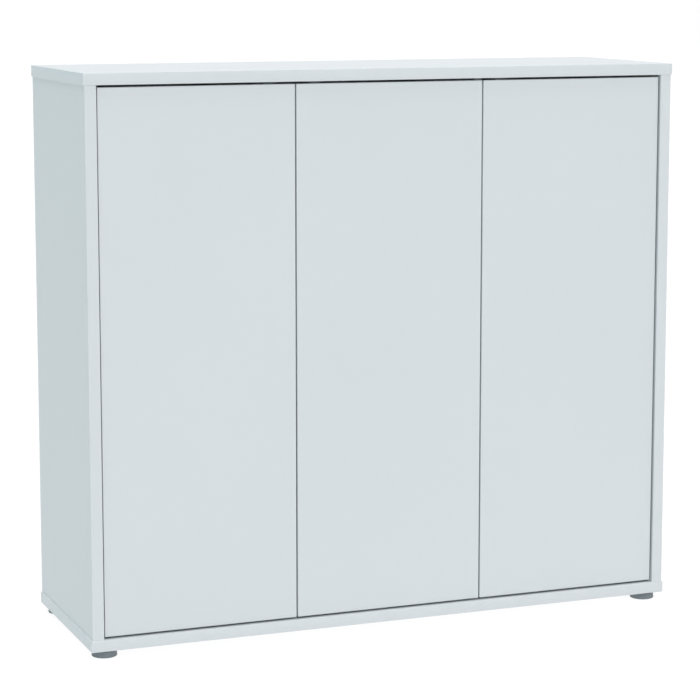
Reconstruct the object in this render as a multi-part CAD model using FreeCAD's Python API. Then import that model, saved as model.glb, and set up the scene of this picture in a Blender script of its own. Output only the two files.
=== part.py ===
import FreeCAD, Part
import os
from math import hypot

os.makedirs("parts", exist_ok=True)
Vector = FreeCAD.Vector

# A free-standing cabinet with three inset doors. Millimetres, +X to the right, -Y to the
# front, +Z up. The origin is on the floor, under the centre of the top panel.

# ---- Overall sizes ---------------------------------------------------------------------
width = 1200.0               # top and bottom panels, left to right
depth = 385.0                # top and bottom panels, front to back
height = 1088.0              # floor to top face
foot_height = 15.0           # floor to the underside of the bottom panel

# ---- Boards ----------------------------------------------------------------------------
board = 22.0                 # top, bottom and side panels
partition_board = 16.0
shelf_board = 16.0
door_board = 16.0
back_board = 3.0             # hardboard
band = 0.8                   # plastic edge band
side_overhang = 2.5          # top and bottom panels past the side panels
front_overhang = 1.5         # top and bottom panels past the side panels
door_recess = 5.0            # side panels' front edges to the doors' faces
door_gap = 3.0               # at each upright edge of a door
top_gap = 4.5                # above the doors
bottom_gap = 4.0             # below the doors
partition_setback = 24.5     # door front to partition front

# ---- Back ------------------------------------------------------------------------------
groove_from_back = 10.0      # rear edge of the carcass to the middle of the groove
groove_depth = 8.0           # in the 22 mm boards
partition_groove_depth = 5.0
groove_clearance = 0.2       # on each face of the back
groove_end_clearance = 1.0
strip_wall = 1.2             # joint strip, an H section
strip_width = 24.0
hose_slot_width = 120.0
hose_slot_height = 60.0
hose_slot_drop = 70.0        # ceiling to the slot's upper edge
hose_slot_corner = 15.0

# ---- Shelves ---------------------------------------------------------------------------
shelf_setback = 34.0         # door front to shelf front
shelf_end_clearance = 1.0
shelf_back_clearance = 2.0
wide_shelf_height = 660.0    # floor to the pin axis
narrow_shelf_heights = (380.0, 720.0)
shelf_pin_radius = 2.5
shelf_pin_depth = 6.0        # in the board
shelf_pin_reach = 9.0        # out of the board
shelf_pin_head_radius = 3.5
shelf_pin_flat = 2.0         # pin axis to the flat that carries the shelf
shelf_pin_inset = 37.0       # from the shelf's front and rear edges
shelf_hole_pitch = 32.0
shelf_hole_steps = 2         # spare holes above and below each pin

# ---- Cam fittings and dowels -----------------------------------------------------------
cam_radius = 7.5
cam_length = 12.0
cam_sink = 0.3               # below the board's face
cam_axis_depth = 8.0         # board's inner face to the bolt axis
cam_distance = 34.0          # board's end to the cam axis
cam_edge_inset = 60.0        # carcass front and back to the bolts
cam_slot_half = 4.0
bolt_thread_radius = 2.5
bolt_thread_length = 11.0
bolt_neck_radius = 3.0
bolt_head_radius = 3.5
bolt_head_length = 5.0
bolt_bore_radius = 4.0
dowel_radius = 4.0
dowel_in_end = 20.0          # into the upright board's end
dowel_in_face = 10.0         # into the face of the top or bottom panel
dowel_spacing = 32.0         # from the bolt
fit = 0.05                   # radial clearance of pins, screws and dowels in their bores
bore_spare = 1.0             # a blind bore is this much deeper than what it holds

# ---- Hinges: single-pivot cup hinges for inset doors ------------------------------------
hinge_end_distance = 100.0   # door's end to the first hinge
pin_edge = 9.0               # door's hinge edge to the pin axis
pin_depth = 7.0              # door's front to the pin axis
pin_radius = 1.5
pin_length = 20.0
cup_radius = 17.5            # bore in the door
cup_edge = 3.0               # wood between the door's edge and the bore
cup_skin = 3.0               # wood in front of the bore
cup_wall = 0.8
cup_flange = 1.2
cup_flange_radius = 19.0
cup_wing_half = 30.0         # the flange's wings, above and below
cup_wing_width = 13.0
cup_screw_offset = 9.5       # cup centre to the screws, away from the edge
cup_screw_height = 24.0
ear_half = 2.6               # ears that hold the pin
ear_inner = 6.5
arm_half_width = 6.0
arm_sheet = 1.2
arm_band = 2.5               # curved neck of the arm
arm_clearance = 1.8          # neck to the swing of the door's rear corner
arm_eye_radius = 2.7
arm_depth = 6.0
arm_length = 56.0
plate_sheet = 2.0
plate_centre = 48.0          # pin axis to the plate's screws, to the rear
plate_half_length = 18.0
plate_half_width = 7.0
plate_wing_half = 22.0
plate_screw_height = 16.0
arm_screw_spacing = 20.0
screw_radius = 1.7
screw_head_radius = 3.3
screw_head_height = 1.5
screw_length = 10.0          # in the wood

# ---- Push latches ----------------------------------------------------------------------
latch_from_edge = 45.0       # door's free edge to the latch axis
latch_drop = 15.0            # ceiling to the latch axis
latch_half_width = 9.0
latch_length = 60.0
latch_below_axis = 8.0
latch_flange_half = 18.0
latch_flange = 3.0
latch_screw_offset = 13.5
latch_corner = 2.0
plunger_radius = 4.0
plunger_running = 0.1
plunger_nose = 5.0           # housing front to plunger tip, door closed
plunger_inside = 35.0
plunger_bore = 50.0
plunger_tip_radius = 5.0
plunger_tip_length = 3.0
strike_radius = 8.0
strike_sheet = 1.0
body_gap = 0.3               # between pieces that move past each other

# ---- Feet ------------------------------------------------------------------------------
foot_radius = 24.0
foot_chamfer = 1.2
foot_neck_radius = 22.5
foot_neck_height = 2.0
foot_from_side = 32.0        # bottom panel's end to foot axis
foot_from_front = 30.0       # bottom panel's front and rear edges to foot axis
spindle_radius = 4.0
foot_bore_skin = 2.0         # board left above the foot's bore
insert_radius = 6.0
insert_length = 14.0

# ---- Places that follow from the sizes --------------------------------------------------
x_end = width / 2
x_side_out = x_end - side_overhang
x_side_in = x_side_out - board
y_panel_front, y_back = -depth / 2, depth / 2
y_side_front = y_panel_front + front_overhang
y_front = y_side_front + door_recess
y_door_back = y_front + door_board
z_under = foot_height
z_inner_floor = z_under + board
z_ceiling = height - board
door_width = (2 * x_side_in - 4 * door_gap) / 3
door_bottom = z_inner_floor + bottom_gap
door_top = z_ceiling - top_gap
x_gap_right = x_side_in - 1.5 * door_gap - door_width
x_part_left = x_gap_right - partition_board / 2
x_part_right = x_gap_right + partition_board / 2
y_part_front = y_front + partition_setback
y_groove = y_back - groove_from_back
y_back_face = y_groove - back_board / 2
y_shelf_front = y_front + shelf_setback
y_shelf_back = y_back_face - shelf_back_clearance
cup_centre = cup_edge + cup_radius - pin_edge
door_back = door_board - pin_depth
arm_inner = hypot(pin_edge, door_back) + arm_clearance
y_pin = y_front + pin_depth
z_latch = z_ceiling - latch_drop
y_tip = y_door_back + strike_sheet + body_gap
y_latch = y_tip + plunger_nose


def block(x0, x1, y0, y1, z0, z1):
    """Box between two values on each axis, given in either order."""
    low = Vector(min(x0, x1), min(y0, y1), min(z0, z1))
    return Part.makeBox(abs(x1 - x0), abs(y1 - y0), abs(z1 - z0), low)


def rod(radius, x, y, z, axis, length):
    """Cylinder from a point along an axis name such as '+z'."""
    sign = 1 if axis[0] == "+" else -1
    way = {"x": Vector(sign, 0, 0), "y": Vector(0, sign, 0), "z": Vector(0, 0, sign)}[axis[1]]
    return Part.makeCylinder(radius, length, Vector(x, y, z), way)


def fuse(shapes):
    """One clean solid from overlapping or touching shapes."""
    return shapes[0].fuse(shapes[1:]).removeSplitter()


def save(name, shapes):
    """Write a node's solids to its STEP file."""
    solids = [solid for shape in shapes for solid in shape.Solids]
    shape = solids[0] if len(solids) == 1 else Part.makeCompound(solids)
    shape.exportStep("parts/%s.step" % name)


# ---- Cam fittings and dowels: each upright board meets the top and the bottom panel -------
# An upright is (face the cams open in, direction out of that face).
uprights = {"left_side": (-x_side_in, 1), "right_side": (x_side_in, -1), "partition": (x_part_right, 1)}
ends = {"top": (z_ceiling, 1), "bottom": (z_inner_floor, -1)}
y_bolts = (y_side_front + cam_edge_inset, y_back - cam_edge_inset)
y_dowels = (y_bolts[0] + dowel_spacing, y_bolts[1] - dowel_spacing)


def cam_bolt(x, y, z, way):
    """Bolt whose thread sits in the top or bottom panel and whose head sits in the cam."""
    axis, back = ("+z", "-z") if way > 0 else ("-z", "+z")
    neck_length = cam_distance - bolt_head_length / 2
    return fuse([rod(bolt_thread_radius, x, y, z, axis, bolt_thread_length),
                 rod(bolt_neck_radius, x, y, z, back, neck_length),
                 rod(bolt_head_radius, x, y, z - way * neck_length, back, bolt_head_length)])


def cam_lock(face, out, y, z, way):
    """Eccentric with a slot for the bolt's head and a cross recess for the screwdriver."""
    inward = "-x" if out > 0 else "+x"
    body = rod(cam_radius - fit, face - out * cam_sink, y, z, inward, cam_length)
    slot = block(face - out * (cam_axis_depth - cam_slot_half), face - out * (cam_length + 2 * cam_sink),
                 y - cam_slot_half, y + cam_slot_half, z - way * cam_slot_half, z + way * 2 * cam_radius)
    cross = [block(face, face - out * 2.5, y - half_y, y + half_y, z - half_z, z + half_z)
             for half_y, half_z in ((0.7, 4.0), (4.0, 0.7))]
    return body.cut([slot] + cross)


cams, bolts, dowels = [], [], []
bores = {"left_side": [], "right_side": [], "partition": [], "top": [], "bottom": []}
for upright, (face, out) in uprights.items():
    inward = "-x" if out > 0 else "+x"
    x_axis = face - out * cam_axis_depth
    for end, (z_end, way) in ends.items():
        up, down = ("+z", "-z") if way > 0 else ("-z", "+z")
        for y in y_bolts:
            z_cam = z_end - way * cam_distance
            bolts.append(cam_bolt(x_axis, y, z_end, way))
            cams.append(cam_lock(face, out, y, z_cam, way))
            bores[end].append(rod(bolt_thread_radius + fit, x_axis, y, z_end, up,
                                  bolt_thread_length + bore_spare))
            bores[upright].append(rod(bolt_bore_radius, x_axis, y, z_end, down, cam_distance))
            bores[upright].append(rod(cam_radius, face, y, z_cam, inward, cam_length + 2 * cam_sink))
        for y in y_dowels:
            dowels.append(rod(dowel_radius, x_axis, y, z_end - way * dowel_in_end, up,
                              dowel_in_end + dowel_in_face))
            bores[end].append(rod(dowel_radius + fit, x_axis, y, z_end, up, dowel_in_face + bore_spare))
            bores[upright].append(rod(dowel_radius + fit, x_axis, y, z_end, down, dowel_in_end + bore_spare))

# ---- Shelves and their pins ----------------------------------------------------------------
y_pins = (y_shelf_front + shelf_pin_inset, y_shelf_back - shelf_pin_inset)
shelf_bays = {"wide_shelf": (("left_side", -x_side_in), ("partition", x_part_left), wide_shelf_height),
              "lower_narrow_shelf": (("partition", x_part_right), ("right_side", x_side_in),
                                     narrow_shelf_heights[0]),
              "upper_narrow_shelf": (("partition", x_part_right), ("right_side", x_side_in),
                                     narrow_shelf_heights[1])}


def shelf_pin(x, y, z, out):
    """Steel pin with a flat on its head that carries the shelf."""
    into, away = ("-x", "+x") if out > 0 else ("+x", "-x")
    shank = rod(shelf_pin_radius - fit, x, y, z, into, shelf_pin_depth - fit)
    head = rod(shelf_pin_head_radius, x, y, z, away, shelf_pin_reach)
    above = block(x, x + out * 2 * shelf_pin_reach, y - 2 * shelf_pin_head_radius,
                  y + 2 * shelf_pin_head_radius, z + shelf_pin_flat, z + 2 * shelf_pin_head_radius)
    return fuse([shank, head.cut(above)])


pins, shelf_bands = [], []
for name, (left, right, z_pin) in shelf_bays.items():
    for (upright, face), out, into in ((left, 1, "-x"), (right, -1, "+x")):
        for y in y_pins:
            pins.append(shelf_pin(face, y, z_pin, out))
            for step in range(-shelf_hole_steps, shelf_hole_steps + 1):
                z_hole = z_pin + step * shelf_hole_pitch
                bores[upright].append(rod(shelf_pin_radius, face, y, z_hole, into, shelf_pin_depth))
    x0, x1 = left[1] + shelf_end_clearance, right[1] - shelf_end_clearance
    z0 = z_pin + shelf_pin_flat + fit
    save(name, [block(x0, x1, y_shelf_front + band, y_shelf_back, z0, z0 + shelf_board)])
    shelf_bands.append(block(x0, x1, y_shelf_front, y_shelf_front + band, z0, z0 + shelf_board))
save("shelf_pins", pins)
save("shelf_edge_bands", shelf_bands)

# ---- Back: three sheets in a groove, two of them joined by a strip --------------------------
reach = groove_depth - groove_end_clearance
partition_reach = partition_groove_depth - groove_end_clearance
half_groove = back_board / 2 + groove_clearance
z_back_low, z_back_high = z_inner_floor - reach, z_ceiling + reach
x_strip = (-x_side_in + x_part_left) / 2
web_half = strip_wall / 2
sheets = {"left_back_panel": (-x_side_in - reach, x_strip - web_half - groove_clearance),
          "middle_back_panel": (x_strip + web_half + groove_clearance, x_part_left + partition_reach),
          "right_back_panel": (x_part_right - partition_reach, x_side_in + reach)}


def hose_slot(x):
    """Cutter for the slot that hoses and cables leave through, with round corners."""
    z1 = z_ceiling - hose_slot_drop
    slot = block(x - hose_slot_width / 2, x + hose_slot_width / 2, y_back_face - 1,
                 y_back_face + back_board + 1, z1 - hose_slot_height, z1)
    corners = [edge for edge in slot.Edges if abs(edge.tangentAt(edge.FirstParameter).y) > 0.9]
    return slot.makeFillet(hose_slot_corner, corners)


for name, (x0, x1) in sheets.items():
    sheet = block(x0, x1, y_back_face, y_back_face + back_board, z_back_low, z_back_high)
    save(name, [sheet.cut(hose_slot((x0 + x1) / 2))])

strip_z = (z_inner_floor + body_gap, z_ceiling - body_gap)
strip_y = (y_groove - half_groove - strip_wall, y_groove + half_groove + strip_wall)
strip = [block(x_strip - web_half, x_strip + web_half, *strip_y, *strip_z)]
for y in (strip_y[0], strip_y[1] - strip_wall):
    strip.append(block(x_strip - strip_width / 2, x_strip + strip_width / 2, y, y + strip_wall, *strip_z))
save("back_joint_strip", [fuse(strip)])

groove_y = (y_groove - half_groove, y_groove + half_groove)
bores["left_side"].append(block(-x_side_in, -x_side_in - groove_depth, *groove_y, z_inner_floor, z_ceiling))
bores["right_side"].append(block(x_side_in, x_side_in + groove_depth, *groove_y, z_inner_floor, z_ceiling))
for face, way in ((x_part_left, 1), (x_part_right, -1)):
    bores["partition"].append(block(face, face + way * partition_groove_depth, *groove_y,
                                    z_inner_floor, z_ceiling))
for end, (z_end, way) in ends.items():
    bores[end].append(block(-x_side_in - groove_depth, x_side_in + groove_depth, *groove_y,
                            z_end, z_end + way * groove_depth))

# ---- Hinge pieces, made with the pin's axis on Z, +X away from the mounting board and
# ---- +Y to the rear. Mirrored for a door that hangs on its right edge. -----------------------
cup_inner = cup_radius - fit - cup_wall
cup_floor = cup_skin - pin_depth + fit
cup_screw_x = cup_centre + cup_screw_offset


def hinge_cup():
    """Pressed cup with a flange, two wings and the two ears that hold the pin."""
    shell = fuse([rod(cup_radius - fit, cup_centre, cup_floor, 0, "+y", door_back - cup_floor),
                  rod(cup_flange_radius, cup_centre, door_back, 0, "+y", cup_flange),
                  block(cup_screw_x - cup_wing_width / 2, cup_screw_x + cup_wing_width / 2,
                        door_back, door_back + cup_flange, -cup_wing_half, cup_wing_half)])
    hollow = rod(cup_inner, cup_centre, cup_floor + cup_wall, 0, "+y", 2 * cup_radius)
    ears = [block(-ear_half, ear_half, cup_floor, ear_half, side * ear_inner, side * pin_length / 2)
            for side in (-1, 1)]
    holes = [rod(pin_radius + fit, 0, 0, -pin_length / 2 - 1, "+z", pin_length + 2)]
    holes += [rod(screw_radius + fit, cup_screw_x, door_back, side * cup_screw_height, "+y", cup_flange)
              for side in (-1, 1)]
    return fuse([shell.cut(hollow)] + ears).cut(holes)


def hinge_arm(offset):
    """Eye on the pin, curved neck round the door's rear corner, channel on the plate."""
    def plate(x0, x1, y0, y1):
        return block(x0, x1, y0, y1, -arm_half_width, arm_half_width)

    arm_outer = arm_inner + arm_band
    x0 = plate_sheet - offset
    x1 = x0 + arm_depth
    eye = rod(arm_eye_radius, 0, 0, -arm_half_width, "+z", 2 * arm_half_width)
    spoke = plate(0, arm_outer - 0.1, -arm_sheet, arm_sheet)
    low = Vector(0, 0, -arm_half_width)
    ring = [Part.makeCylinder(radius, 2 * arm_half_width, low, Vector(0, 0, 1), 90)
            for radius in (arm_outer, arm_inner)]
    neck = ring[0].cut(ring[1])
    link = plate(min(x0, 0), max(0, x0 + arm_sheet), arm_inner, arm_outer)
    bar = plate(x0, x1, arm_inner, arm_inner + arm_length)
    inner_half = arm_half_width - arm_sheet
    hollow = block(x0, x1 - arm_sheet, arm_outer, arm_inner + arm_length, -inner_half, inner_half)
    holes = [rod(pin_radius + fit, 0, 0, -arm_half_width, "+z", 2 * arm_half_width)]
    holes += [rod(screw_radius + fit, x0, y, 0, "+x", arm_depth) for y in arm_screw_places()]
    return fuse([eye, spoke, neck, link, bar.cut(hollow)]).cut(holes)


def arm_screw_places():
    """Distances behind the pin of the two screws that clamp the arm to its plate."""
    return [plate_centre + side * arm_screw_spacing / 2 for side in (-1, 1)]


def hinge_plate(offset):
    """Cross-shaped mounting plate on the board's face."""
    x0, x1 = -offset, plate_sheet - offset
    cross = fuse([block(x0, x1, plate_centre - plate_half_length, plate_centre + plate_half_length,
                        -plate_half_width, plate_half_width),
                  block(x0, x1, plate_centre - plate_half_width, plate_centre + plate_half_width,
                        -plate_wing_half, plate_wing_half)])
    holes = [rod(screw_radius + fit, x0, plate_centre, side * plate_screw_height, "+x", plate_sheet)
             for side in (-1, 1)]
    holes += [rod(screw_radius + fit, x0, y, 0, "+x", plate_sheet) for y in arm_screw_places()]
    return cross.cut(holes)


def screw(x, y, z, axis, grip, bite):
    """Pan-head screw: the head lies outside the point, the shank runs grip + bite inward."""
    back = ("-" if axis[0] == "+" else "+") + axis[1]
    head = rod(screw_head_radius, x, y, z, back, screw_head_height)
    tops = [edge for edge in head.Edges if edge.Closed and edge.BoundBox.Center.distanceToPoint(
        Vector(x, y, z)) > screw_head_height / 2]
    head = head.makeFillet(screw_head_height / 2, tops)
    half, reach = 0.5, screw_head_radius * 0.6
    way = {"x": Vector(1, 0, 0), "y": Vector(0, 1, 0), "z": Vector(0, 0, 1)}[back[1]]
    recess = [Part.makeBox(2 * a, 2 * b, screw_head_height, Vector(-a, -b, screw_head_height / 2))
              for a, b in ((half, reach), (reach, half))]
    turn = FreeCAD.Rotation(Vector(0, 0, 1), way * (1 if back[0] == "+" else -1))
    for cutter in recess:
        cutter.Placement = FreeCAD.Placement(Vector(x, y, z), turn).multiply(cutter.Placement)
    return fuse([head, rod(screw_radius, x, y, z, axis, grip + bite)]).cut(recess)


# A door is (left edge, way from the hinge edge to the free edge, mounting board,
# pin axis to the mounting board's face).
side_offset = pin_edge + door_gap
partition_offset = pin_edge + door_gap / 2 - partition_board / 2
doors = {"left": (-x_side_in + door_gap, 1, "left_side", side_offset),
         "middle": (x_gap_right - door_gap / 2 - door_width, -1, "partition", partition_offset),
         "right": (x_gap_right + door_gap / 2, -1, "right_side", side_offset)}
z_hinges = (door_bottom + hinge_end_distance, (door_bottom + door_top) / 2, door_top - hinge_end_distance)


def placed(shape, x, y, z, way):
    """Copy of a hinge piece at a pin axis, mirrored when way is -1."""
    copy = shape.copy() if way > 0 else shape.mirror(Vector(0, 0, 0), Vector(1, 0, 0))
    copy.translate(Vector(x, y, z))
    return copy


def panel_with_bands(x0, x1, y0, y1, z0, z1):
    """Door or similar panel: core and the four strips round its edge."""
    core = block(x0 + band, x1 - band, y0, y1, z0 + band, z1 - band)
    strips = [block(x0, x0 + band, y0, y1, z0 + band, z1 - band),
              block(x1 - band, x1, y0, y1, z0 + band, z1 - band),
              block(x0, x1, y0, y1, z0, z0 + band), block(x0, x1, y0, y1, z1 - band, z1)]
    return core, strips


plates, plate_screws, arm_screws, housings, latch_screws = [], [], [], [], []
for name, (x_left, way, upright, offset) in doors.items():
    x_hinge = x_left if way > 0 else x_left + door_width
    x_free = x_left + door_width if way > 0 else x_left
    x_pin = x_hinge + way * pin_edge
    core, strips = panel_with_bands(x_left, x_left + door_width, y_front, y_door_back, door_bottom, door_top)

    cup, arm, plate = hinge_cup(), hinge_arm(offset), hinge_plate(offset)
    pin = rod(pin_radius, 0, 0, -pin_length / 2, "+z", pin_length)
    cup_face, plate_face = door_back + cup_flange, plate_sheet - offset
    cup_screw = [screw(cup_screw_x, cup_face, side * cup_screw_height, "-y", cup_flange, screw_length)
                 for side in (-1, 1)]
    wood_screw = [screw(plate_face, plate_centre, side * plate_screw_height, "-x", plate_sheet, screw_length)
                  for side in (-1, 1)]
    clamp_screw = [screw(plate_face + arm_depth, y, 0, "-x", arm_depth, plate_sheet - fit)
                   for y in arm_screw_places()]
    cup_bore = rod(cup_radius, cup_centre, cup_skin - pin_depth, 0, "+y", door_board)
    cup_pilot = [rod(screw_radius + fit, cup_screw_x, door_back, side * cup_screw_height, "-y",
                     screw_length + bore_spare) for side in (-1, 1)]
    plate_pilot = [rod(screw_radius + fit, -offset, plate_centre, side * plate_screw_height, "-x",
                       screw_length + bore_spare) for side in (-1, 1)]
    group = {"cups": [], "pins": [], "screws": [], "arms": []}
    door_cutters = []
    for z in z_hinges:
        spot = (x_pin, y_pin, z, way)
        group["cups"].append(placed(cup, *spot))
        group["pins"].append(placed(pin, *spot))
        group["arms"].append(placed(arm, *spot))
        group["screws"] += [placed(one, *spot) for one in cup_screw]
        plates.append(placed(plate, *spot))
        plate_screws += [placed(one, *spot) for one in wood_screw]
        arm_screws += [placed(one, *spot) for one in clamp_screw]
        door_cutters += [placed(one, *spot) for one in [cup_bore] + cup_pilot]
        bores[upright] += [placed(one, *spot) for one in plate_pilot]
    save(name + "_door", [core.cut(door_cutters)])
    save(name + "_door_edge_bands", strips)
    save(name + "_hinge_cups", group["cups"])
    save(name + "_hinge_pins", group["pins"])
    save(name + "_cup_screws", group["screws"])
    save(name + "_hinge_arms", group["arms"])

    # Push latch under the ceiling, behind the door's free edge, and its strike on the door.
    x_latch = x_free - way * latch_from_edge
    case = block(x_latch - latch_half_width, x_latch + latch_half_width, y_latch, y_latch + latch_length,
                 z_latch - latch_below_axis, z_ceiling)
    corners = [edge for edge in case.Edges if abs(edge.tangentAt(edge.FirstParameter).y) > 0.9
               and edge.CenterOfMass.z < z_latch]
    flange = block(x_latch - latch_flange_half, x_latch + latch_flange_half, y_latch, y_latch + latch_length,
                   z_ceiling - latch_flange, z_ceiling)
    y_middle = y_latch + latch_length / 2
    x_screws = [x_latch + side * latch_screw_offset for side in (-1, 1)]
    holes = [rod(screw_radius + fit, x, y_middle, z_ceiling, "-z", latch_flange) for x in x_screws]
    holes.append(rod(plunger_radius + plunger_running, x_latch, y_latch, z_latch, "+y", plunger_bore))
    housings.append(fuse([case.makeFillet(latch_corner, corners), flange]).cut(holes))
    for x in x_screws:
        latch_screws.append(screw(x, y_middle, z_ceiling - latch_flange, "+z", latch_flange, screw_length))
        bores["top"].append(rod(screw_radius + fit, x, y_middle, z_ceiling, "+z", screw_length + bore_spare))
    tip = rod(plunger_tip_radius, x_latch, y_tip, z_latch, "+y", plunger_tip_length)
    nose = [edge for edge in tip.Edges if edge.Closed and edge.CenterOfMass.y < y_tip + body_gap]
    stem = rod(plunger_radius, x_latch, y_tip + plunger_tip_length, z_latch, "+y",
               plunger_nose - plunger_tip_length + plunger_inside)
    save(name + "_latch_plunger", [fuse([tip.makeFillet(1.0, nose), stem])])
    save(name + "_strike_plate", [rod(strike_radius, x_latch, y_door_back, z_latch, "+y", strike_sheet)])
save("hinge_plates", plates)
save("plate_screws", plate_screws)
save("arm_screws", arm_screws)
save("latch_housings", housings)
save("latch_screws", latch_screws)
save("cam_locks", cams)
save("cam_bolts", bolts)
save("wooden_dowels", dowels)

# ---- Feet: a pad on a threaded spindle, in an insert in the bottom panel ---------------------
x_foot, y_foot = x_end - foot_from_side, y_back - foot_from_front
feet = {"front_left": (-x_foot, -y_foot), "front_right": (x_foot, -y_foot),
        "rear_left": (-x_foot, y_foot), "rear_right": (x_foot, y_foot), "centre": (x_gap_right, 0)}
foot_bore_depth = board - foot_bore_skin
inserts = []
for name, (x, y) in feet.items():
    pad_height = foot_height - body_gap
    disc = rod(foot_radius, x, y, 0, "+z", pad_height - foot_neck_height)
    rim = [edge for edge in disc.Edges if edge.Closed and edge.CenterOfMass.z < body_gap]
    neck = rod(foot_neck_radius, x, y, pad_height - foot_neck_height, "+z", foot_neck_height)
    save(name + "_foot_pad", [fuse([disc.makeChamfer(foot_chamfer, rim), neck])])
    save(name + "_foot_spindle", [rod(spindle_radius, x, y, pad_height, "+z",
                                      body_gap + foot_bore_depth - bore_spare)])
    insert = rod(insert_radius - fit, x, y, z_under, "+z", insert_length)
    inserts.append(insert.cut(rod(spindle_radius + fit, x, y, z_under, "+z", insert_length)))
    bores["bottom"].append(rod(insert_radius, x, y, z_under, "+z", foot_bore_depth))
save("foot_inserts", inserts)

# ---- Carcass boards and their edge bands ------------------------------------------------------
bands = []
for end, z0, z1 in (("top", z_ceiling, height), ("bottom", z_under, z_inner_floor)):
    core = block(-x_end + band, x_end - band, y_panel_front + band, y_back, z0, z1)
    save(end + "_panel", [core.cut(bores[end])])
    bands.append(block(-x_end, x_end, y_panel_front, y_panel_front + band, z0, z1))
    for way in (-1, 1):
        bands.append(block(way * x_end, way * (x_end - band), y_panel_front + band, y_back, z0, z1))
for name, x0, x1, y0 in (("left_side", -x_side_out, -x_side_in, y_side_front),
                         ("right_side", x_side_in, x_side_out, y_side_front),
                         ("partition", x_part_left, x_part_right, y_part_front)):
    core = block(x0, x1, y0 + band, y_back, z_inner_floor, z_ceiling)
    save("partition_panel" if name == "partition" else name + "_panel", [core.cut(bores[name])])
    bands.append(block(x0, x1, y0, y0 + band, z_inner_floor, z_ceiling))
save("carcass_edge_bands", bands)
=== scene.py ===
import logging
import math
from dataclasses import dataclass
from enum import Enum
from typing import Iterable, Sequence

import bmesh
import bpy
import numpy as np
from mathutils import Matrix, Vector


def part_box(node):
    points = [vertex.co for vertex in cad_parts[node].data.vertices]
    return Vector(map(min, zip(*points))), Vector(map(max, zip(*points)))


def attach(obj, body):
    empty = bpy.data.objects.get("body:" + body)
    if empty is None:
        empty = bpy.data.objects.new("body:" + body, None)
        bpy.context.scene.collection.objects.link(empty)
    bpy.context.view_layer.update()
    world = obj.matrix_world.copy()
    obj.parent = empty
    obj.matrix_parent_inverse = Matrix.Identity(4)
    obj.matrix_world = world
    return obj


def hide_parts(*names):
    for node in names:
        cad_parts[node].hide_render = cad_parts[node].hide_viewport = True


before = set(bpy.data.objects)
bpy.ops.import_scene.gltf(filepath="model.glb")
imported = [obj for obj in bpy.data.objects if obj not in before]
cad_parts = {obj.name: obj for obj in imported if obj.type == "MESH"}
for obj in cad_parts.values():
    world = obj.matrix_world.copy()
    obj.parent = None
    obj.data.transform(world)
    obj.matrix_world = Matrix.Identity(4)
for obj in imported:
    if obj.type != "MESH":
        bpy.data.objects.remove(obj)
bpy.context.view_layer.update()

LOG = logging.getLogger("cabinet")
MM = 0.001
TURN = 2 * math.pi
QUARTER = math.pi / 2
DOUBLES = 1e-6               # metres: points nearer than this are one point
SMOOTH_BELOW = 35.0          # degrees: faces that meet at less shade as one
FLAT_BELOW = 1.0             # degrees: faces that meet at less are merged into one
EASED_ABOVE = 40.0           # degrees: edges sharper than this are rounded


class Thickness(Enum):
    """Axis along which a board is thin. Its two broad faces carry the melamine."""

    X = (1.0, 0.0, 0.0)
    Y = (0.0, 1.0, 0.0)
    Z = (0.0, 0.0, 1.0)


# ---------------------------------------------------------------------------------------
# Finishes
# ---------------------------------------------------------------------------------------


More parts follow.
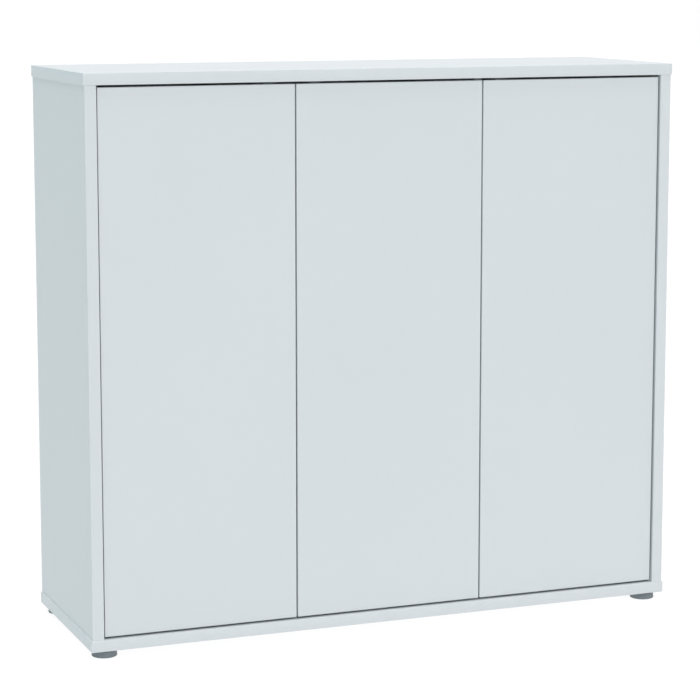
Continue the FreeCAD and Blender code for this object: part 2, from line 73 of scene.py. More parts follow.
class Shader:
    """A material's node tree with short calls for the nodes that the finishes share."""

    def __init__(self, name: str) -> None:
        """Starts a material that has only a principled shader and its output.

        Args:
            name: the material's name.
        """
        self.material = bpy.data.materials.new(name)
        self.material.use_nodes = True
        self.nodes = self.material.node_tree.nodes
        self.links = self.material.node_tree.links
        self.surface = self.nodes["Principled BSDF"]
        self.place = self.nodes.new("ShaderNodeTexCoord")

    def set(self, **values: object) -> None:
        """Puts constants on the principled shader, with _ for each space in a socket's name."""
        for key, value in values.items():
            self.surface.inputs[key.replace("_", " ")].default_value = value

    def stretched(self, scale: Sequence[float]) -> bpy.types.NodeSocket:
        """Object coordinates multiplied along each axis, for patterns with a grain.

        Args:
            scale: factor on X, Y and Z.

        Returns:
            The vector socket.
        """
        mapping = self.nodes.new("ShaderNodeMapping")
        mapping.inputs["Scale"].default_value = scale
        self.links.new(self.place.outputs["Object"], mapping.inputs["Vector"])
        return mapping.outputs["Vector"]

    def noise(self, scale: float, detail: float = 2.0,
              vector: bpy.types.NodeSocket | None = None) -> bpy.types.NodeSocket:
        """Fractal noise from 0 to 1, in cycles per metre.

        Args:
            scale: cycles per metre.
            detail: number of octaves added.
            vector: coordinates, or object coordinates when left out.

        Returns:
            The value socket.
        """
        node = self.nodes.new("ShaderNodeTexNoise")
        node.inputs["Scale"].default_value = scale
        node.inputs["Detail"].default_value = detail
        self.links.new(vector or self.place.outputs["Object"], node.inputs["Vector"])
        return node.outputs["Fac"]

    def cells(self, scale: float, vector: bpy.types.NodeSocket | None = None) -> bpy.types.Node:
        """Voronoi cells for flakes and chips.

        Args:
            scale: cells per metre.
            vector: coordinates, or object coordinates when left out.

        Returns:
            The node, with its Distance and Color outputs.
        """
        node = self.nodes.new("ShaderNodeTexVoronoi")
        node.inputs["Scale"].default_value = scale
        self.links.new(vector or self.place.outputs["Object"], node.inputs["Vector"])
        return node

    def ramp(self, value: bpy.types.NodeSocket, stops: Sequence[tuple[float, Sequence[float]]],
             ) -> bpy.types.NodeSocket:
        """Colour that runs through stops as a value goes from 0 to 1.

        Args:
            value: the driving socket.
            stops: pairs of position and colour.

        Returns:
            The colour socket.
        """
        node = self.nodes.new("ShaderNodeValToRGB")
        elements = node.color_ramp.elements
        while len(elements) < len(stops):
            elements.new(0.5)
        for element, (position, color) in zip(elements, stops):
            element.position = position
            element.color = (*color, 1.0)
        self.links.new(value, node.inputs["Fac"])
        return node.outputs["Color"]

    def span(self, value: bpy.types.NodeSocket, low: float, high: float,
             source: tuple[float, float] = (0.3, 0.7)) -> bpy.types.NodeSocket:
        """A value stretched from one range to another, and held there.

        Args:
            value: the driving socket.
            low: result at the source range's start.
            high: result at its end.
            source: range of the value that is used.

        Returns:
            The value socket.
        """
        node = self.nodes.new("ShaderNodeMapRange")
        for name, number in zip(("From Min", "From Max", "To Min", "To Max"), (*source, low, high)):
            node.inputs[name].default_value = number
        self.links.new(value, node.inputs["Value"])
        return node.outputs["Result"]

    def blend(self, mask: bpy.types.NodeSocket, first: bpy.types.NodeSocket,
              second: bpy.types.NodeSocket) -> bpy.types.NodeSocket:
        """First colour where the mask is 0, second where it is 1."""
        node = self.nodes.new("ShaderNodeMix")
        node.data_type = "RGBA"
        self.links.new(mask, node.inputs["Factor"])
        self.links.new(first, node.inputs["A"])
        self.links.new(second, node.inputs["B"])
        return node.outputs["Result"]

    def facing(self, way: Sequence[float], both_ways: bool) -> bpy.types.NodeSocket:
        """1 where the surface faces along a direction of its own piece, else 0.

        Args:
            way: unit vector in the piece's own axes.
            both_ways: whether the opposite direction counts too.

        Returns:
            The value socket.
        """
        dot = self.nodes.new("ShaderNodeVectorMath")
        dot.operation = "DOT_PRODUCT"
        dot.inputs[1].default_value = way
        self.links.new(self.place.outputs["Normal"], dot.inputs[0])
        value = dot.outputs["Value"]
        if both_ways:
            size = self.nodes.new("ShaderNodeMath")
            size.operation = "ABSOLUTE"
            self.links.new(value, size.inputs[0])
            value = size.outputs["Value"]
        return self.span(value, 0.0, 1.0, (0.85, 0.95))

    def bump(self, height: bpy.types.NodeSocket, depth: float, strength: float = 1.0,
             under: bpy.types.NodeSocket | None = None) -> bpy.types.NodeSocket:
        """Surface relief from a height value.

        Args:
            height: value from 0 to 1.
            depth: its full height in metres.
            strength: share of it that shows.
            under: a relief that this one lies on.

        Returns:
            The normal socket.
        """
        node = self.nodes.new("ShaderNodeBump")
        node.inputs["Distance"].default_value = depth
        node.inputs["Strength"].default_value = strength
        self.links.new(height, node.inputs["Height"])
        if under:
            self.links.new(under, node.inputs["Normal"])
        return node.outputs["Normal"]

    def wire(self, **sockets: bpy.types.NodeSocket) -> bpy.types.Material:
        """Links sockets to the principled shader, with _ for spaces, and returns the material."""
        for key, socket in sockets.items():
            self.links.new(socket, self.surface.inputs[key.replace("_", " ")])
        return self.material


@dataclass(frozen=True)
class Melamine:
    """White melamine on chipboard: pearl-textured faces, raw chips on every cut edge."""

    thickness: Thickness
    white: tuple[float, float, float] = (0.612, 0.643, 0.663)
    dark_chip: tuple[float, float, float] = (0.30, 0.19, 0.10)
    pale_chip: tuple[float, float, float] = (0.66, 0.50, 0.32)

    def build(self) -> bpy.types.Material:
        """Returns the material: faces and cut edges are told apart by the board's own normal."""
        shader = Shader(f"melamine_{self.thickness.name.lower()}")
        shader.set(Specular_IOR_Level=0.42, Coat_Weight=0.06, Coat_Roughness=0.3)
        cloud = shader.noise(2.6, 3.0)
        face = shader.ramp(cloud, [(0.3, [0.988 * c for c in self.white]), (0.7, self.white)])
        lying = [0.35 + 0.65 * part for part in self.thickness.value]
        flakes = shader.cells(620.0, shader.stretched(lying))
        chips = shader.ramp(flakes.outputs["Distance"],
                            [(0.0, self.pale_chip), (0.45, [0.7 * c for c in self.pale_chip]),
                             (0.9, self.dark_chip)])
        mask = shader.facing(self.thickness.value, True)
        pearl = shader.span(shader.noise(1100.0, 2.0), 0.0, 0.1, (0.0, 1.0))
        height = shader.blend(mask, flakes.outputs["Distance"], pearl)
        normal = shader.bump(height, 0.00025, 0.5)
        rough = shader.span(shader.noise(420.0, 2.0), 0.36, 0.46)
        return shader.wire(Base_Color=shader.blend(mask, chips, face), Roughness=rough,
                           Normal=normal)


@dataclass(frozen=True)
class EdgeBand:
    """White plastic edge band, a little smoother than the board, with faint milling lines."""

    white: tuple[float, float, float] = (0.612, 0.643, 0.663)

    def build(self) -> bpy.types.Material:
        """Returns the material."""
        shader = Shader("edge_band_white")
        shader.set(Specular_IOR_Level=0.45)
        tone = shader.noise(30.0, 2.0)
        color = shader.ramp(tone, [(0.3, [0.985 * c for c in self.white]), (0.7, self.white)])
        relief = shader.bump(shader.noise(700.0, 2.0), 0.00002, 0.6)
        rough = shader.span(shader.noise(160.0, 3.0), 0.30, 0.42)
        return shader.wire(Base_Color=color, Roughness=rough, Normal=relief)


@dataclass(frozen=True)
class Hardboard:
    """Thin hardboard: painted white inside, bare pressed fibre behind."""

    paint: tuple[float, float, float] = (0.60, 0.63, 0.65)
    fibre: tuple[float, float, float] = (0.43, 0.30, 0.185)

    def build(self) -> bpy.types.Material:
        """Returns the material: the painted face is the one that faces the doors."""
        shader = Shader("hardboard")
        shader.set(Specular_IOR_Level=0.25)
        felt = shader.noise(260.0, 8.0)
        wool = shader.noise(9.0, 4.0)
        bare = shader.ramp(felt, [(0.25, [0.72 * c for c in self.fibre]), (0.5, self.fibre),
                                  (0.8, [1.25 * c for c in self.fibre])])
        aged = shader.ramp(wool, [(0.2, [0.9 * c for c in self.fibre]),
                                  (0.8, [1.1 * c for c in self.fibre])])
        half = shader.span(wool, 0.25, 0.45)
        paint = shader.ramp(felt, [(0.3, [0.975 * c for c in self.paint]), (0.7, self.paint)])
        mask = shader.facing((0.0, -1.0, 0.0), False)
        color = shader.blend(mask, shader.blend(half, bare, aged), paint)
        relief = shader.bump(felt, 0.00012, 0.6)
        return shader.wire(Base_Color=color, Roughness=shader.span(felt, 0.5, 0.8), Normal=relief)


@dataclass(frozen=True)
class Plastic:
    """Moulded plastic: fine spark-eroded texture, slightly cloudy colour with random paler patches.
    """

    name: str
    color: tuple[float, float, float]
    rough: float = 0.45
    texture: float = 900.0

    def build(self) -> bpy.types.Material:
        """Returns the material."""
        shader = Shader(self.name)
        shader.set(Specular_IOR_Level=0.4)
        cloud = shader.noise(55.0, 4.0)
        color = shader.ramp(cloud, [(0.25, [0.90 * c for c in self.color]), (0.5, self.color),
                                    (0.8, [min(1.0, 1.10 * c) for c in self.color])])
        relief = shader.bump(shader.noise(self.texture, 3.0), 0.00005, 0.6)
        rough = shader.span(shader.noise(300.0, 3.0), self.rough - 0.07, self.rough + 0.09)
        return shader.wire(Base_Color=color, Roughness=rough, Normal=relief)


@dataclass(frozen=True)
class Metal:
    """Plated or cast metal: rolling lines or casting grain, and a faint uneven tone."""

    name: str
    color: tuple[float, float, float]
    rough: float
    grain: tuple[float, float, float]
    depth: float

    def build(self) -> bpy.types.Material:
        """Returns the material."""
        shader = Shader(self.name)
        shader.set(Metallic=1.0)
        lines = shader.noise(260.0, 4.0, shader.stretched(self.grain))
        tone = shader.noise(40.0, 3.0)
        color = shader.ramp(tone, [(0.25, [0.88 * c for c in self.color]), (0.75, self.color)])
        rough = shader.span(lines, self.rough - 0.06, self.rough + 0.10)
        return shader.wire(Base_Color=color, Roughness=rough,
                           Normal=shader.bump(lines, self.depth, 0.5))


@dataclass(frozen=True)
class Beech:
    """Turned beech: long grain along the dowel with short dark flecks."""

    pale: tuple[float, float, float] = (0.66, 0.45, 0.27)
    dark: tuple[float, float, float] = (0.42, 0.25, 0.12)

    def build(self) -> bpy.types.Material:
        """Returns the material."""
        shader = Shader("beech")
        fibres = shader.noise(900.0, 5.0, shader.stretched((1.0, 1.0, 0.08)))
        color = shader.ramp(fibres, [(0.3, self.dark), (0.6, self.pale)])
        relief = shader.bump(fibres, 0.0001, 0.6)
        return shader.wire(Base_Color=color, Roughness=shader.span(fibres, 0.55, 0.75),
                           Normal=relief)


# ---------------------------------------------------------------------------------------
# Surfaces
# ---------------------------------------------------------------------------------------


@dataclass
class Surface:
    """Vertices and faces, gathered from several parts before they become one mesh."""

    points: np.ndarray
    faces: list[tuple[int, ...]]

    @staticmethod
    def joined(parts: Iterable["Surface"]) -> "Surface":
        """One surface that holds every part, with each part's face indices moved up.

        Args:
            parts: closed surfaces.

        Returns:
            The combined surface.
        """
        parts = list(parts)
        starts = np.cumsum([0] + [len(part.points) for part in parts])
        faces = [tuple(int(start) + index for index in face)
                 for start, part in zip(starts, parts) for face in part.faces]
        return Surface(np.concatenate([part.points for part in parts]), faces)

    def object(self, name: str, smooth_angle: float = SMOOTH_BELOW) -> bpy.types.Object:
        """The surface as a Blender object at the origin, faces outward.

        Args:
            name: the object's name.
            smooth_angle: faces that meet at less than this angle, in degrees, shade as one.

        Returns:
            The new object.
        """
        mesh = bpy.data.meshes.new(name)
        mesh.from_pydata(self.points.tolist(), [], self.faces)
        tidy = bmesh.new()
        tidy.from_mesh(mesh)
        bmesh.ops.remove_doubles(tidy, verts=tidy.verts, dist=DOUBLES)
        bmesh.ops.recalc_face_normals(tidy, faces=tidy.faces)
        tidy.to_mesh(mesh)
        tidy.free()
        mesh.shade_smooth()
        mesh.set_sharp_from_angle(angle=math.radians(smooth_angle))
        piece = bpy.data.objects.new(name, mesh)
        bpy.context.scene.collection.objects.link(piece)
        return piece


def grid_faces(rows: int, columns: int, wrap_rows: bool,
               wrap_columns: bool) -> list[tuple[int, ...]]:
    """Quads of a rows by columns grid of points, numbered row by row.

    Args:
        rows: number of rows.
        columns: points in each row.
        wrap_rows: whether the last row joins the first.
        wrap_columns: whether each row is a closed loop.

    Returns:
        Four point numbers for each quad.
    """
    row, column = np.meshgrid(np.arange(rows if wrap_rows else rows - 1),
                              np.arange(columns if wrap_columns else columns - 1), indexing="ij")
    next_row, next_column = (row + 1) % rows, (column + 1) % columns
    corners = [row * columns + column, row * columns + next_column,
               next_row * columns + next_column, next_row * columns + column]
    return [tuple(face) for face in np.stack(corners, -1).reshape(-1, 4).tolist()]


def carried(stations: np.ndarray, outward: np.ndarray, across: Sequence[float],
            profile: np.ndarray, closed: bool) -> Surface:
    """A closed profile carried along a path.

    A point of the surface is the station, plus the profile's first number times the outward
    direction there, plus its second number times the fixed direction across the path.

    Args:
        stations: path points, n by 3.
        outward: direction in which the profile stands out at each station, n by 3.
        across: direction of the profile's second number.
        profile: closed outline, m by 2.
        closed: whether the path is a loop. An open path gets a cap at each end.

    Returns:
        The surface.
    """
    points = (stations[:, None, :] + profile[None, :, :1] * outward[:, None, :]
              + profile[None, :, 1:] * np.asarray(across)[None, None, :])
    rows, columns = points.shape[:2]
    faces = grid_faces(rows, columns, closed, True)
    if not closed:
        first = tuple(range(columns))
        last = tuple((rows - 1) * columns + index for index in range(columns))
        faces += [first[::-1], last]
    return Surface(points.reshape(-1, 3), faces)


def turned(center: Sequence[float], radius: np.ndarray, along: np.ndarray, axis: Thickness,
           segments: int, ripple: np.ndarray | None = None) -> Surface:
    """A lathe shape: each point is the radius turned about the axis, at its distance along it.

    The radius may carry a ripple, a rows by segments array that is added to it. The first and
    last rows close on the axis when their radius is zero, else with a flat cap.

    Args:
        center: point where the distance along the axis is zero.
        radius: radius of each row.
        along: distance of each row along the axis.
        axis: the axis that the shape is turned about.
        segments: points in each row.
        ripple: change of radius at each point.

    Returns:
        The surface.
    """
    angle = np.linspace(0.0, TURN, segments, endpoint=False)
    reach = radius[:, None] + (0.0 if ripple is None else ripple)
    cosine, sine = reach * np.cos(angle), reach * np.sin(angle)
    height = np.broadcast_to(along[:, None], cosine.shape)
    order = {Thickness.X: (height, cosine, sine), Thickness.Y: (sine, height, cosine),
             Thickness.Z: (cosine, sine, height)}[axis]
    points = np.stack(order, -1) + np.asarray(center)
    rows = len(along)
    faces = grid_faces(rows, segments, False, True)
    first = tuple(range(segments))
    last = tuple((rows - 1) * segments + index for index in first)
    faces += [first[::-1], last]
    return Surface(points.reshape(-1, 3), faces)


def rounded_strip(thickness: float, width: float, radius: float, steps: int = 5) -> np.ndarray:
    """Outline of an edge band: a rectangle whose two outer corners are quarter circles.

    Args:
        thickness: how far the band stands out of the board.
        width: the board's thickness.
        radius: radius of the outer corners.
        steps: points on each quarter circle.

    Returns:
        The outline, each point as (out, across).
    """
    angle = np.linspace(0.0, QUARTER, steps)
    low = np.stack([thickness - radius + radius * np.sin(angle),
                    radius - radius * np.cos(angle)], -1)
    high = np.stack([low[::-1, 0], width - low[::-1, 1]], -1)
    return np.concatenate([[[0.0, 0.0]], low, high, [[0.0, width]]])


def dress(piece: bpy.types.Object, finish: bpy.types.Material) -> None:
    """Gives a piece one material, in place of any that it has."""
    piece.data.materials.clear()
    piece.data.materials.append(finish)


def eased(node: str, body: str, name: str, radius: float, segments: int = 2) -> bpy.types.Object:
    """A copy of a CAD node whose sharp edges are broken by a small round.

    Args:
        node: the node that the copy stands for.
        body: the body that it rides on.
        name: the new piece's name.
        radius: width of the round, in metres.
        segments: faces across the round.

    Returns:
        The new piece.
    """
    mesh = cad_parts[node].data.copy()
    mesh.name = name
    work = bmesh.new()
    work.from_mesh(mesh)
    bmesh.ops.remove_doubles(work, verts=work.verts, dist=2 * DOUBLES)
    bmesh.ops.dissolve_limit(work, angle_limit=math.radians(FLAT_BELOW),
                             verts=work.verts, edges=work.edges)
    bmesh.ops.recalc_face_normals(work, faces=work.faces)
    work.to_mesh(mesh)
    work.free()
    mesh.shade_smooth()
    mesh.set_sharp_from_angle(angle=math.radians(SMOOTH_BELOW))
    piece = bpy.data.objects.new(name, mesh)
    bpy.context.scene.collection.objects.link(piece)
    bevel = piece.modifiers.new("eased_edges", "BEVEL")
    bevel.width = radius
    bevel.segments = segments
    bevel.limit_method = "ANGLE"
    bevel.angle_limit = math.radians(EASED_ABOVE)
    bevel.harden_normals = True
    bevel.use_clamp_overlap = True
    seat(piece, body, node)
    return piece


def seat(piece: bpy.types.Object, body: str, node: str) -> None:
    """Lets a piece ride on a body in place of a CAD node, which it hides.

    Args:
        piece: the new piece.
        body: the body that it rides on.
        node: the CAD node that it stands for.
    """
    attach(piece, body)
    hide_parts(node)
    LOG.info("%s on %s, %d faces", piece.name, body, len(piece.data.polygons))


# ---------------------------------------------------------------------------------------
# The cabinet's sub-assemblies
# ---------------------------------------------------------------------------------------


@dataclass
class Workshop:
    """Every finish of the cabinet, made once and shared."""

    def __post_init__(self) -> None:
        """Builds the materials."""
        self.boards = {axis: Melamine(axis).build() for axis in Thickness}
        self.band = EdgeBand().build()
        self.back = Hardboard().build()
        self.foot = Plastic("foot_grey", (0.165, 0.195, 0.21), 0.50).build()
        self.latch = Plastic("latch_grey", (0.50, 0.53, 0.55), 0.42).build()
        self.white = Plastic("strip_white", (0.64, 0.67, 0.69), 0.40).build()
        self.nickel = Metal("nickel_plate", (0.66, 0.65, 0.62), 0.24, (1.0, 1.0, 0.12),
                            0.00002).build()
        self.zinc = Metal("zinc_casting", (0.60, 0.61, 0.62), 0.42, (1.0, 1.0, 1.0),
                          0.00012).build()
        self.beech = Beech().build()


@dataclass
class Carcass:
    """Fixed boards, their edge bands, the back and the shelves."""

    shop: Workshop
    band: float = 0.8 * MM
    ease: float = 0.6 * MM
    boards: tuple[tuple[str, Thickness], ...] = (
        ("top_panel", Thickness.Z), ("bottom_panel", Thickness.Z),
        ("left_side_panel", Thickness.X), ("right_side_panel", Thickness.X),
        ("partition_panel", Thickness.X), ("wide_shelf", Thickness.Z),
        ("lower_narrow_shelf", Thickness.Z), ("upper_narrow_shelf", Thickness.Z))
    sheets: tuple[str, ...] = ("left_back_panel", "middle_back_panel", "right_back_panel")

    def front_and_ends(self, node: str) -> Surface:
        """Band round a panel's left end, front and right end, the corners turned round the core.

        The outward direction goes from left to front through a quarter circle at the first
        corner, and from front to right at the second.

        Args:
            node: the panel's core.

        Returns:
            The band's surface.
        """
        low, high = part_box(node)
        quarter = np.linspace(0.0, QUARTER, 5)
        left, right = math.pi + quarter, 1.5 * math.pi + quarter
        angle = np.concatenate([[math.pi], left, right, [TURN]])
        x = np.concatenate([[low.x] * 6, [high.x] * 6])
        y = np.concatenate([[high.y], [low.y] * 10, [high.y]])
        stations = np.stack([x, y, np.full(12, low.z)], -1)
        outward = np.stack([np.cos(angle), np.sin(angle), np.zeros(12)], -1)
        profile = rounded_strip(self.band, high.z - low.z, self.ease)
        return carried(stations, outward, (0.0, 0.0, 1.0), profile, False)

    def upright_front(self, node: str) -> Surface:
        """Band on the front edge of an upright board, carried straight up it."""
        low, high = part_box(node)
        stations = np.array([[low.x, low.y, low.z], [low.x, low.y, high.z]])
        outward = np.array([[0.0, -1.0, 0.0]] * 2)
        profile = rounded_strip(self.band, high.x - low.x, self.ease)
        return carried(stations, outward, (1.0, 0.0, 0.0), profile, False)

    def shelf_front(self, node: str) -> Surface:
        """Band on a shelf's front edge, carried straight along it."""
        low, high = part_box(node)
        stations = np.array([[low.x, low.y, low.z], [high.x, low.y, low.z]])
        outward = np.array([[0.0, -1.0, 0.0]] * 2)
        profile = rounded_strip(self.band, high.z - low.z, self.ease)
        return carried(stations, outward, (0.0, 0.0, 1.0), profile, False)

    def build(self) -> None:
        """Dresses the boards and the back, and makes the edge bands."""
        for node, axis in self.boards:
            dress(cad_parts[node], self.shop.boards[axis])
        for node in self.sheets:
            dress(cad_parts[node], self.shop.back)
        dress(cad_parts["back_joint_strip"], self.shop.white)
        strips = [self.front_and_ends(node) for node in ("top_panel", "bottom_panel")]
        strips += [self.upright_front(node)
                   for node in ("left_side_panel", "right_side_panel", "partition_panel")]
        edging = Surface.joined(strips).object("carcass_edging")
        dress(edging, self.shop.band)
        seat(edging, "carcass", "carcass_edge_bands")
        shelves = [node for node, _ in self.boards if node.endswith("shelf")]
        edging = Surface.joined([self.shelf_front(node) for node in shelves]).object("shelf_edging")
        dress(edging, self.shop.band)
        seat(edging, "carcass", "shelf_edge_bands")


@dataclass
class Door:
    """A door leaf: board, edge bands, hinge cups, pins, screws and strike."""

    side: str
    shop: Workshop
    band: float = 0.8 * MM
    ease: float = 0.6 * MM
    corner_steps: int = 5
    strike_bevel: float = 0.3 * MM
    dimple_radius: float = 5.2 * MM
    dimple_depth: float = 0.4 * MM

    def edging(self) -> Surface:
        """Band round all four edges, turned through a quarter circle at each corner of the core.

        Returns:
            The closed band.
        """
        low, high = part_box(f"{self.side}_door")
        starts = np.arange(4) * QUARTER
        angle = (starts[:, None] + np.linspace(0.0, QUARTER, self.corner_steps)).ravel()
        x = np.repeat([high.x, low.x, low.x, high.x], self.corner_steps)
        z = np.repeat([high.z, high.z, low.z, low.z], self.corner_steps)
        stations = np.stack([x, np.full_like(x, low.y), z], -1)
        outward = np.stack([np.cos(angle), np.zeros_like(angle), np.sin(angle)], -1)
        profile = rounded_strip(self.band, high.y - low.y, self.ease)
        return carried(stations, outward, (0.0, 1.0, 0.0), profile, True)

    def strike(self) -> Surface:
        """Strike disc with a bevelled rim and a shallow dimple where the plunger lands."""
        low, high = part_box(f"{self.side}_strike_plate")
        center = ((low.x + high.x) / 2, low.y, (low.z + high.z) / 2)
        full, sheet = (high.x - low.x) / 2, high.y - low.y
        radius = np.array([full, full, full - self.strike_bevel, self.dimple_radius,
                           self.dimple_radius - 0.6 * MM, 2.0 * MM])
        along = np.array([0.0, sheet - self.strike_bevel, sheet, sheet,
                          sheet - 0.25 * MM, sheet - self.dimple_depth])
        return turned(center, radius, along, Thickness.Y, 48)

    def build(self) -> None:
        """Dresses the leaf and makes its new pieces."""
        body = f"{self.side}_door_leaf"
        dress(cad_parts[f"{self.side}_door"], self.shop.boards[Thickness.Y])
        edging = self.edging().object(f"{self.side}_door_edging")
        dress(edging, self.shop.band)
        seat(edging, body, f"{self.side}_door_edge_bands")
        strike = self.strike().object(f"{self.side}_strike_disc")
        dress(strike, self.shop.nickel)
        seat(strike, body, f"{self.side}_strike_plate")
        cups = eased(f"{self.side}_hinge_cups", body, f"{self.side}_pressed_cups", 0.25 * MM)
        screws = eased(f"{self.side}_cup_screws", body, f"{self.side}_cup_fixings", 0.12 * MM)
        for piece in (cups, screws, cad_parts[f"{self.side}_hinge_pins"]):
            dress(piece, self.shop.nickel)
        arms = eased(f"{self.side}_hinge_arms", "carcass", f"{self.side}_pressed_arms", 0.25 * MM)
        dress(arms, self.shop.nickel)


@dataclass
class Latch:
    """Push latch plunger: a waisted nose on a ribbed stem."""

    side: str
    shop: Workshop
    nose_radius: float = 5.0 * MM
    nose_length: float = 3.0 * MM
    stem_radius: float = 4.0 * MM
    ribs: int = 6
    rows_per_rib: int = 12
    rib_depth: float = 0.25 * MM
    nose_round: float = 1.0 * MM

    def build(self) -> None:
        """Makes the plunger from its outline and seats it on its own body."""
        node = f"{self.side}_latch_plunger"
        low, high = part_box(node)
        center = ((low.x + high.x) / 2, low.y, (low.z + high.z) / 2)
        length = high.y - low.y
        quarter = np.linspace(0.0, QUARTER, 6)
        nose_r = self.nose_radius - self.nose_round + self.nose_round * np.sin(quarter)
        nose_y = self.nose_round - self.nose_round * np.cos(quarter)
        rib_y = np.linspace(self.nose_length + 0.4 * MM, length - 1.0 * MM,
                            self.rows_per_rib * self.ribs + 1)
        wave = 0.5 - 0.5 * np.cos(TURN * self.ribs * np.linspace(0.0, 1.0, len(rib_y)))
        rib_r = self.stem_radius - self.rib_depth * wave ** 4
        radius = np.concatenate([[0.6 * self.nose_radius], nose_r,
                                 [self.nose_radius, self.stem_radius],
                                 rib_r, [self.stem_radius - 0.6 * MM]])
        along = np.concatenate([[0.0], nose_y, [self.nose_length - 0.2 * MM, self.nose_length],
                                rib_y, [length]])
        piece = turned(center, radius, along, Thickness.Y, 40).object(f"{self.side}_latch_pin")
        dress(piece, self.shop.latch)
        seat(piece, f"{self.side}_push_plunger", node)


@dataclass
class Foot:
    """Round levelling foot: moulded pad and threaded spindle."""

    name: str
    shop: Workshop
    edge_round: float = 1.6 * MM
    lip: float = 0.45 * MM
    lip_height: float = 3.4 * MM
    neck_inset: float = 1.5 * MM
    neck_height: float = 2.0 * MM
    pitch: float = 1.5 * MM
    thread_depth: float = 0.55 * MM
    thread_segments: int = 24
    rows_per_pitch: int = 8
    thread_fade: float = 0.8 * MM

    def pad(self) -> Surface:
        """Pad outline turned about its axis: rounded base, low lip, straight wall, stepped neck."""
        low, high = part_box(f"{self.name}_foot_pad")
        center = ((low.x + high.x) / 2, (low.y + high.y) / 2, 0.0)
        full = (high.x - low.x) / 2
        quarter = np.linspace(0.0, QUARTER, 7)
        base_r = full - self.edge_round + self.edge_round * np.sin(quarter)
        base_z = low.z + self.edge_round - self.edge_round * np.cos(quarter)
        wall = full - self.lip
        neck = full - self.neck_inset
        shoulder = high.z - self.neck_height
        radius = np.concatenate([[0.55 * full, 0.6 * full], base_r,
                                 [full, wall, wall, wall - 0.4 * MM, neck, neck, neck - 0.3 * MM]])
        along = np.concatenate([[low.z + 0.8 * MM, low.z], base_z,
                                [low.z + self.lip_height, low.z + self.lip_height + 0.5 * MM,
                                 shoulder - 0.4 * MM, shoulder, shoulder,
                                 high.z - 0.3 * MM, high.z]])
        return turned(center, radius, along, Thickness.Z, 96)

    def spindle(self) -> Surface:
        """Threaded rod: the radius falls by a triangle wave of height along the axis less the turn.

        Returns:
            The surface, its two ends smooth.
        """
        low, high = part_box(f"{self.name}_foot_spindle")
        center = ((low.x + high.x) / 2, (low.y + high.y) / 2, 0.0)
        full = (high.x - low.x) / 2
        segments = self.thread_segments
        rows = int(round((high.z - low.z) / self.pitch * self.rows_per_pitch)) + 1
        along = np.linspace(low.z, high.z, rows)
        turn = np.arange(segments) / segments
        phase = ((along[:, None] - low.z) / self.pitch - turn[None, :]) % 1.0
        cut = self.thread_depth * np.abs(2.0 * phase - 1.0)
        fade = np.clip(np.minimum(along - low.z, high.z - along) / self.thread_fade, 0.0, 1.0)
        return turned(center, np.full(rows, full), along, Thickness.Z, segments,
                      -cut * fade[:, None])

    def build(self) -> None:
        """Makes the pad and the spindle and seats them on the foot's body."""
        body = f"{self.name}_foot"
        pad = self.pad().object(f"{self.name}_pad")
        dress(pad, self.shop.foot)
        seat(pad, body, f"{self.name}_foot_pad")
        spindle = self.spindle().object(f"{self.name}_thread", 50.0)
        dress(spindle, self.shop.nickel)
        seat(spindle, body, f"{self.name}_foot_spindle")


@dataclass
class Ironmongery:
    """Fixed fittings shared by the whole cabinet."""

    shop: Workshop

    def build(self) -> None:
        """Breaks the edges of the fittings and dresses them."""
        shop = self.shop
        eased_nodes = (("hinge_plates", "mounting_plates", shop.nickel, 0.25),
                       ("plate_screws", "plate_fixings", shop.nickel, 0.12),
                       ("arm_screws", "arm_fixings", shop.nickel, 0.12),
                       ("latch_screws", "latch_fixings", shop.nickel, 0.12),
                       ("latch_housings", "latch_cases", shop.latch, 0.35),
                       ("cam_locks", "cam_castings", shop.zinc, 0.2),
                       ("shelf_pins", "shelf_studs", shop.nickel, 0.2))
        for node, name, finish, radius in eased_nodes:
            dress(eased(node, "carcass", name, radius * MM), finish)
        dress(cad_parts["cam_bolts"], shop.nickel)
        dress(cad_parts["wooden_dowels"], shop.beech)
        dress(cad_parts["foot_inserts"], shop.white)


# ---------------------------------------------------------------------------------------
# Stage
# ---------------------------------------------------------------------------------------


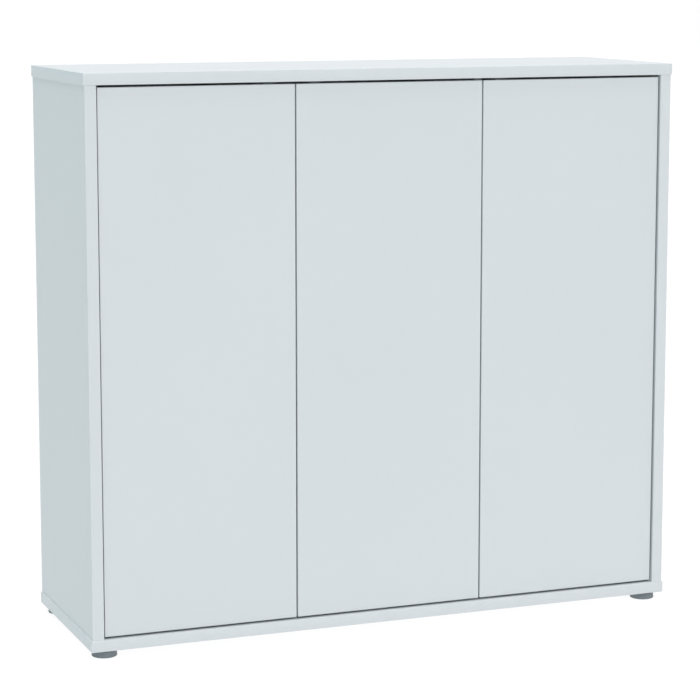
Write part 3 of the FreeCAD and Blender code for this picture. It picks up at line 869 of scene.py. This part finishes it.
@dataclass
class Studio:
    """Pale glowing floor, a bright horizon, a soft key, a soft overhead light and the camera."""

    floor_size: float = 60.0
    floor_lines: int = 9
    floor_tone: float = 0.10
    floor_glow: float = 0.93
    horizon: float = 1.0
    upper: float = 0.30
    ring_top: float = 0.42
    ring_end: float = 0.14
    left_tint: tuple[float, float, float] = (0.48, 0.77, 0.81)
    tint_from: float = -0.15
    tint_to: float = -0.50
    key_way: tuple[float, float] = (14.0, 42.0)
    key_strength: float = 1.20
    key_spread: float = 25.0
    overhead_strength: float = 2.6
    overhead_spread: float = 40.0
    camera_place: tuple[float, float, float] = (-1.7094, -4.3220, 1.2747)
    yaw: float = 21.469
    pitch: float = 8.026
    focal_share: float = 2361.0 / 700.0
    shift: float = -0.07
    sensor: float = 36.0

    def floor(self) -> None:
        """Flat pale floor, one large grid of quads that face up."""
        step = np.linspace(-self.floor_size / 2, self.floor_size / 2, self.floor_lines)
        y, x = np.meshgrid(step, step, indexing="ij")
        points = np.stack([x, y, np.zeros_like(x)], -1).reshape(-1, 3)
        mesh = bpy.data.meshes.new("floor")
        faces = grid_faces(self.floor_lines, self.floor_lines, False, False)
        mesh.from_pydata(points.tolist(), [], faces)
        piece = bpy.data.objects.new("floor", mesh)
        bpy.context.scene.collection.objects.link(piece)
        shader = Shader("studio_floor")
        shader.set(Roughness=0.9, Specular_IOR_Level=0.0, Emission_Strength=self.floor_glow,
                   Emission_Color=(1.0, 1.0, 1.0, 1.0))
        color = shader.ramp(shader.noise(1.5, 3.0), [(0.3, [0.98 * self.floor_tone] * 3),
                                                     (0.7, [self.floor_tone] * 3)])
        dress(piece, shader.wire(Base_Color=color))

    def sky(self) -> None:
        """Sky that lights the cabinet, behind a plain white backdrop that is the same all round.

        The light's radiance is the horizon's in a low ring and falls smoothly to the upper
        part's. Both are multiplied by a tint that goes smoothly from white to the left tint as
        the direction turns to the left.
        """
        world = bpy.data.worlds.new("studio")
        bpy.context.scene.world = world
        world.use_nodes = True
        nodes, links = world.node_tree.nodes, world.node_tree.links
        place = nodes.new("ShaderNodeTexCoord")
        parts = nodes.new("ShaderNodeSeparateXYZ")
        links.new(place.outputs["Generated"], parts.inputs["Vector"])

        def smooth(axis: str, start: float, end: float, low: float,
                   high: float) -> bpy.types.NodeSocket:
            """Low to high by a smooth step as the direction's part on an axis goes start to end.

            Args:
                axis: the axis, X or Z.
                start: the part at which the result leaves its first value.
                end: the part at which it reaches its second.
                low: the first value.
                high: the second value.

            Returns:
                The value socket.
            """
            node = nodes.new("ShaderNodeMapRange")
            node.interpolation_type = "SMOOTHSTEP"
            values = {"From Min": start, "From Max": end, "To Min": low, "To Max": high}
            for name, value in values.items():
                node.inputs[name].default_value = value
            links.new(parts.outputs[axis], node.inputs["Value"])
            return node.outputs["Result"]

        tint = nodes.new("ShaderNodeMix")
        tint.data_type = "RGBA"
        tint.inputs["A"].default_value = (*self.left_tint, 1.0)
        tint.inputs["B"].default_value = (1.0, 1.0, 1.0, 1.0)
        links.new(smooth("X", self.tint_to, self.tint_from, 0.0, 1.0), tint.inputs["Factor"])
        light = nodes["Background"]
        links.new(tint.outputs["Result"], light.inputs["Color"])
        links.new(smooth("Z", self.ring_end, self.ring_top, self.horizon, self.upper),
                  light.inputs["Strength"])
        backdrop = nodes.new("ShaderNodeBackground")
        backdrop.inputs["Color"].default_value = (1.0, 1.0, 1.0, 1.0)
        backdrop.inputs["Strength"].default_value = self.horizon
        choice = nodes.new("ShaderNodeMixShader")
        links.new(nodes.new("ShaderNodeLightPath").outputs["Is Camera Ray"], choice.inputs["Fac"])
        links.new(light.outputs["Background"], choice.inputs[1])
        links.new(backdrop.outputs["Background"], choice.inputs[2])
        links.new(choice.outputs["Shader"], nodes["World Output"].inputs["Surface"])

    def lamp(self, name: str, left: float, height: float, strength: float, spread: float) -> None:
        """Wide soft lamp, so far off that its light is the same all over the cabinet.

        Args:
            name: the lamp's name.
            left: degrees from straight in front of the doors towards the left.
            height: degrees above the floor.
            strength: its irradiance.
            spread: its width, in degrees.
        """
        data = bpy.data.lights.new(name, "SUN")
        data.energy = strength
        data.angle = math.radians(spread)
        piece = bpy.data.objects.new(name, data)
        bpy.context.scene.collection.objects.link(piece)
        turn = Matrix.Rotation(math.radians(-left), 4, "Z")
        piece.matrix_world = turn @ Matrix.Rotation(math.radians(90.0 - height), 4, "X")

    def camera(self) -> None:
        """Camera at its place, turned right by the yaw and down by the pitch."""
        data = bpy.data.cameras.new("camera")
        data.sensor_width = self.sensor
        data.lens = self.focal_share * self.sensor
        data.shift_y = self.shift
        data.clip_end = 200.0
        piece = bpy.data.objects.new("camera", data)
        bpy.context.scene.collection.objects.link(piece)
        turn = Matrix.Rotation(math.radians(-self.yaw), 4, "Z")
        tilt = Matrix.Rotation(math.radians(90.0 - self.pitch), 4, "X")
        piece.matrix_world = Matrix.Translation(self.camera_place) @ turn @ tilt
        bpy.context.scene.camera = piece

    def build(self) -> None:
        """Sets the stage."""
        self.floor()
        self.sky()
        self.lamp("key", *self.key_way, self.key_strength, self.key_spread)
        self.lamp("overhead", 0.0, 90.0, self.overhead_strength, self.overhead_spread)
        self.camera()
        scene = bpy.context.scene
        scene.view_settings.view_transform = "Standard"
        scene.view_settings.look = "None"


def main() -> None:
    """Builds the cabinet's sub-assemblies in order, then the studio."""
    logging.basicConfig(level=logging.INFO, format="%(name)s: %(message)s")
    shop = Workshop()
    Carcass(shop).build()
    Ironmongery(shop).build()
    for side in ("left", "middle", "right"):
        Door(side, shop).build()
        Latch(side, shop).build()
    for name in ("front_left", "front_right", "rear_left", "rear_right", "centre"):
        Foot(name, shop).build()
    Studio().build()


if __name__ == "__main__":
    main()
